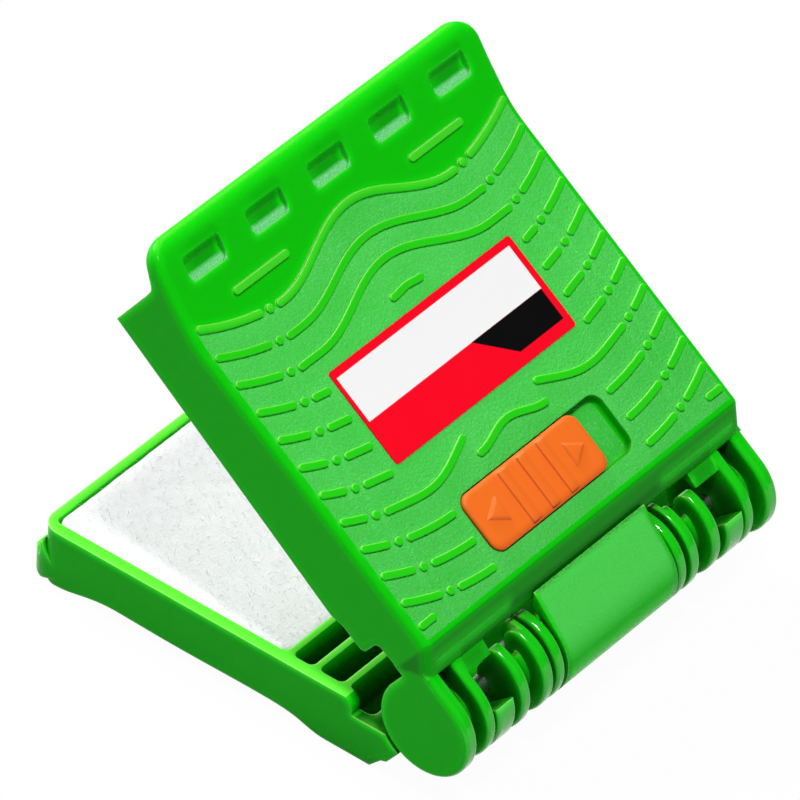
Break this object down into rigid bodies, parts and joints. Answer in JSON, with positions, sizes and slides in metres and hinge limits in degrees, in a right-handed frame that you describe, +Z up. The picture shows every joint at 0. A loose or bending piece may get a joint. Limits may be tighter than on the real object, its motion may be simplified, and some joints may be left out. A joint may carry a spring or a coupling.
{
  "type": "optical fibre cleaning clamp",
  "caption": "Hinged spring-open clamp that wipes optical fibres: ribbed plastic half shells lined with soft white pads, with a sliding lock and a lip to open it by.",
  "frame": {"origin": "middle of the flat heel the base stands on, at ground level below the hinge end of the base", "axes": "+Z up; X along the hinge pin; the lips that open are at -Y and the hinge is at +Y; the lid is drawn open at its stop"},
  "size_m": [0.05, 0.0563, 0.0486],
  "materials": {
    "green_plastic": "satin, with a fine spark-eroded texture on the lid's top",
    "orange_plastic": "satin",
    "latch_plastic": "satin",
    "steel": "ground",
    "spring_steel": "drawn wire",
    "sponge": "open-cell foam",
    "felt": "napped felt",
    "label_film": "printed film"
  },
  "bodies": {
    "base": {"base_shell": "green_plastic", "hinge_pin": "steel", "torsion_spring_left": "spring_steel", "torsion_spring_right": "spring_steel", "lower_sponge": "sponge", "lower_felt_pad": "felt"},
    "lid": {"lid_shell": "green_plastic", "upper_sponge": "sponge", "upper_felt_pad": "felt", "label": "label_film"},
    "lock": {"slide_button": "orange_plastic", "latch_plate": "latch_plastic"}
  },
  "joints": [
    {"name": "lid_hinge", "type": "hinge", "parent": "base", "child": "lid", "pos_m": [0, 0.0092, 0.0084], "axis": [1, 0, 0], "range_deg": [0, 38.8], "stiffness_Nm_per_rad": 0.06, "springref_deg": -28.65, "deforming": ["torsion_spring_left", "torsion_spring_right"]},
    {"name": "lock_slide", "type": "slide", "parent": "lid", "child": "lock", "axis": [-1, 0, 0], "range_m": [0, 0.0038]}
  ]
}
